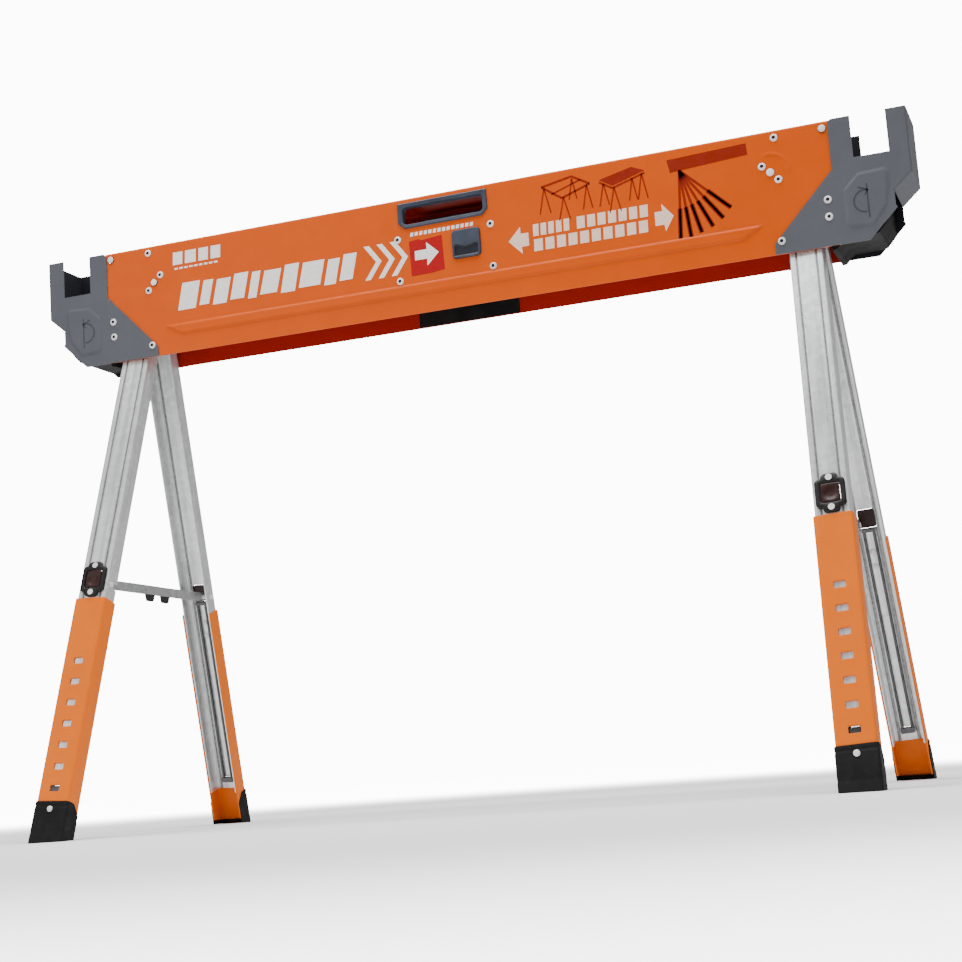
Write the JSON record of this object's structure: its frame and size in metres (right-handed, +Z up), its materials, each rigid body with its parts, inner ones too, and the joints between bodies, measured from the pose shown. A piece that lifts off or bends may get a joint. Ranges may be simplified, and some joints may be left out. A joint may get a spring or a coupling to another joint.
{
  "type": "folding sawhorse",
  "caption": "Folding steel sawhorse: sheet-steel beam with board notches at its ends and splayed, height-adjustable legs that fold up into the beam.",
  "frame": {"origin": "on the floor under the middle of the beam", "axes": "+X along the beam, towards the right end; +Z up; the front face, with the release button, towards -Y"},
  "size_m": [1.143, 0.4662, 0.762],
  "materials": {
    "orange_beam_paint": "satin powder coat",
    "orange_leg_paint": "satin powder coat",
    "grey_bracket_paint": "satin powder coat",
    "zinc_plate": "bright zinc plate",
    "bright_pin": "turned, zinc plated",
    "bright_rivet": "pop rivet heads",
    "black_moulding": "fine-textured black moulding",
    "dark_grey_moulding": "fine-textured dark grey moulding",
    "black_rubber": "matt",
    "dark_spring_steel": "phosphated"
  },
  "bodies": {
    "beam": {"beam_top": "orange_beam_paint", "beam_front": "orange_beam_paint", "beam_rear": "orange_beam_paint", "end_bracket_left": "grey_bracket_paint", "end_bracket_right": "grey_bracket_paint", "end_cap_left": "black_moulding", "end_cap_right": "black_moulding", "hinge_bracket_left": "orange_beam_paint", "hinge_bracket_right": "orange_beam_paint", "swing_pin_left": "bright_pin", "swing_pin_right": "bright_pin", "hinge_studs": "bright_pin", "corner_pins": "bright_pin", "panel_rivets": "bright_rivet", "bracket_rivets": "bright_rivet", "housing_rivets": "bright_rivet", "handle_bezel_front": "dark_grey_moulding", "handle_bezel_rear": "dark_grey_moulding", "release_housing": "black_moulding", "housing_cheeks": "black_moulding", "housing_skirts": "black_moulding", "release_spring": "dark_spring_steel"},
    "release_button": {"release_button": "dark_grey_moulding"},
    "fold_latch": {"fold_latch": "black_moulding"},
    "yoke_left": {"yoke_left": "black_moulding", "splay_pins_left": "bright_pin"},
    "upper_front_left": {"upper_leg_front_left": "zinc_plate", "latch_housing_front_left": "black_moulding", "leg_rivets_front_left": "bright_rivet"},
    "lower_front_left": {"sleeve_front_left": "orange_leg_paint", "boot_front_left": "black_rubber"},
    "lever_front_left": {"latch_lever_front_left": "black_moulding"},
    "catch_front_left": {"catch_rod_front_left": "dark_spring_steel"},
    "brace_front_left": {"brace_bar_front_left": "zinc_plate"},
    "upper_rear_left": {"upper_leg_rear_left": "zinc_plate", "latch_housing_rear_left": "black_moulding", "leg_rivets_rear_left": "bright_rivet"},
    "lower_rear_left": {"sleeve_rear_left": "orange_leg_paint", "boot_rear_left": "black_rubber"},
    "lever_rear_left": {"latch_lever_rear_left": "black_moulding"},
    "catch_rear_left": {"catch_rod_rear_left": "dark_spring_steel"},
    "brace_rear_left": {"brace_bar_rear_left": "zinc_plate"},
    "yoke_right": {"yoke_right": "black_moulding", "splay_pins_right": "bright_pin"},
    "upper_front_right": {"upper_leg_front_right": "zinc_plate", "latch_housing_front_right": "black_moulding", "leg_rivets_front_right": "bright_rivet"},
    "lower_front_right": {"sleeve_front_right": "orange_leg_paint", "boot_front_right": "black_rubber"},
    "lever_front_right": {"latch_lever_front_right": "black_moulding"},
    "catch_front_right": {"catch_rod_front_right": "dark_spring_steel"},
    "brace_front_right": {"brace_bar_front_right": "zinc_plate"},
    "upper_rear_right": {"upper_leg_rear_right": "zinc_plate", "latch_housing_rear_right": "black_moulding", "leg_rivets_rear_right": "bright_rivet"},
    "lower_rear_right": {"sleeve_rear_right": "orange_leg_paint", "boot_rear_right": "black_rubber"},
    "lever_rear_right": {"latch_lever_rear_right": "black_moulding"},
    "catch_rear_right": {"catch_rod_rear_right": "dark_spring_steel"},
    "brace_rear_right": {"brace_bar_rear_right": "zinc_plate"}
  },
  "joints": [
    {"name": "release_press", "type": "slide", "parent": "beam", "child": "release_button", "axis": [0, 1, 0], "range_m": [0, 0.003], "stiffness_N_per_m": 600, "springref_m": -0.003},
    {"name": "fold_latch_lift", "type": "slide", "parent": "beam", "child": "fold_latch", "axis": [0, 0, 1], "range_m": [0, 0.003]},
    {"name": "swing_left", "type": "hinge", "parent": "beam", "child": "yoke_left", "pos_m": [-0.4109, 0, 0.7116], "axis": [0, 1, 0], "range_deg": [-92.9, 0]},
    {"name": "splay_front_left", "type": "hinge", "parent": "yoke_left", "child": "upper_front_left", "pos_m": [-0.44225, -0.0045, 0.67602], "axis": [-0.9987, 0, 0.0506], "range_deg": [-17.6, 0]},
    {"name": "height_front_left", "type": "slide", "parent": "upper_front_left", "child": "lower_front_left", "axis": [-0.0482, -0.3024, -0.952], "range_m": [0, 0.1596]},
    {"name": "brace_fold_front_left", "type": "hinge", "parent": "upper_front_left", "child": "brace_front_left", "pos_m": [-0.46084, -0.12136, 0.30908], "axis": [-0.9987, 0, 0.0506], "range_deg": [-72.4, 0]},
    {"name": "lever_press_front_left", "type": "hinge", "parent": "upper_front_left", "child": "lever_front_left", "pos_m": [-0.45999, -0.12762, 0.32573], "axis": [0.9987, 0, -0.0506], "range_deg": [0, 12]},
    {"name": "catch_draw_front_left", "type": "slide", "parent": "upper_front_left", "child": "catch_front_left", "axis": [-0.0153, 0.9532, -0.302], "range_m": [0, 0.005], "stiffness_N_per_m": 600, "springref_m": -0.002},
    {"name": "splay_rear_left", "type": "hinge", "parent": "yoke_left", "child": "upper_rear_left", "pos_m": [-0.43526, 0.0045, 0.67566], "axis": [0.9987, 0, -0.0506], "range_deg": [-17.6, 0]},
    {"name": "height_rear_left", "type": "slide", "parent": "upper_rear_left", "child": "lower_rear_left", "axis": [-0.0482, 0.3024, -0.952], "range_m": [0, 0.1596]},
    {"name": "brace_fold_rear_left", "type": "hinge", "parent": "upper_rear_left", "child": "brace_rear_left", "pos_m": [-0.45383, 0.12125, 0.30908], "axis": [0.9987, 0, -0.0506], "range_deg": [-72.4, 0]},
    {"name": "lever_press_rear_left", "type": "hinge", "parent": "upper_rear_left", "child": "lever_rear_left", "pos_m": [-0.45298, 0.1275, 0.32573], "axis": [-0.9987, 0, 0.0506], "range_deg": [0, 12]},
    {"name": "catch_draw_rear_left", "type": "slide", "parent": "upper_rear_left", "child": "catch_rear_left", "axis": [-0.0153, -0.9532, -0.302], "range_m": [0, 0.005], "stiffness_N_per_m": 600, "springref_m": -0.002},
    {"name": "swing_right", "type": "hinge", "parent": "beam", "child": "yoke_right", "pos_m": [0.4109, 0, 0.6635], "axis": [0, -1, 0], "range_deg": [-92.9, 0]},
    {"name": "splay_front_right", "type": "hinge", "parent": "yoke_right", "child": "upper_front_right", "pos_m": [0.44026, -0.014, 0.64601], "axis": [-0.9987, 0, -0.0506], "range_deg": [-17.6, 0]},
    {"name": "height_front_right", "type": "slide", "parent": "upper_front_right", "child": "lower_front_right", "axis": [0.0482, -0.3024, -0.952], "range_m": [0, 0.1596]},
    {"name": "brace_fold_front_right", "type": "hinge", "parent": "upper_front_right", "child": "brace_front_right", "pos_m": [0.4574, -0.11724, 0.30778], "axis": [-0.9987, 0, -0.0506], "range_deg": [-72.4, 0]},
    {"name": "lever_press_front_right", "type": "hinge", "parent": "upper_front_right", "child": "lever_front_right", "pos_m": [0.45649, -0.12759, 0.32573], "axis": [0.9987, 0, 0.0506], "range_deg": [0, 12]},
    {"name": "catch_draw_front_right", "type": "slide", "parent": "upper_front_right", "child": "catch_front_right", "axis": [0.0153, 0.9532, -0.302], "range_m": [0, 0.005], "stiffness_N_per_m": 600, "springref_m": -0.002},
    {"name": "splay_rear_right", "type": "hinge", "parent": "yoke_right", "child": "upper_rear_right", "pos_m": [0.44026, 0.014, 0.64601], "axis": [0.9987, 0, 0.0506], "range_deg": [-17.6, 0]},
    {"name": "height_rear_right", "type": "slide", "parent": "upper_rear_right", "child": "lower_rear_right", "axis": [0.0482, 0.3024, -0.952], "range_m": [0, 0.1596]},
    {"name": "brace_fold_rear_right", "type": "hinge", "parent": "upper_rear_right", "child": "brace_rear_right", "pos_m": [0.4574, 0.11724, 0.30778], "axis": [0.9987, 0, 0.0506], "range_deg": [-72.4, 0]},
    {"name": "lever_press_rear_right", "type": "hinge", "parent": "upper_rear_right", "child": "lever_rear_right", "pos_m": [0.45649, 0.12759, 0.32573], "axis": [-0.9987, 0, -0.0506], "range_deg": [0, 12]},
    {"name": "catch_draw_rear_right", "type": "slide", "parent": "upper_rear_right", "child": "catch_rear_right", "axis": [0.0153, -0.9532, -0.302], "range_m": [0, 0.005], "stiffness_N_per_m": 600, "springref_m": -0.002}
  ],
  "couplings": [
    {"joint": "fold_latch_lift", "follows": "release_press", "ratio": 1},
    {"joint": "splay_front_left", "follows": "swing_left", "ratio": 0.18945},
    {"joint": "brace_fold_front_left", "follows": "swing_left", "ratio": 0.77932},
    {"joint": "lever_press_front_left", "follows": "catch_draw_front_left", "rad_per_m": 41.884},
    {"joint": "splay_rear_left", "follows": "swing_left", "ratio": 0.18945},
    {"joint": "brace_fold_rear_left", "follows": "swing_left", "ratio": 0.77932},
    {"joint": "lever_press_rear_left", "follows": "catch_draw_rear_left", "rad_per_m": 41.884},
    {"joint": "splay_front_right", "follows": "swing_right", "ratio": 0.18945},
    {"joint": "brace_fold_front_right", "follows": "swing_right", "ratio": 0.77932},
    {"joint": "lever_press_front_right", "follows": "catch_draw_front_right", "rad_per_m": 41.884},
    {"joint": "splay_rear_right", "follows": "swing_right", "ratio": 0.18945},
    {"joint": "brace_fold_rear_right", "follows": "swing_right", "ratio": 0.77932},
    {"joint": "lever_press_rear_right", "follows": "catch_draw_rear_right", "rad_per_m": 41.884}
  ]
}
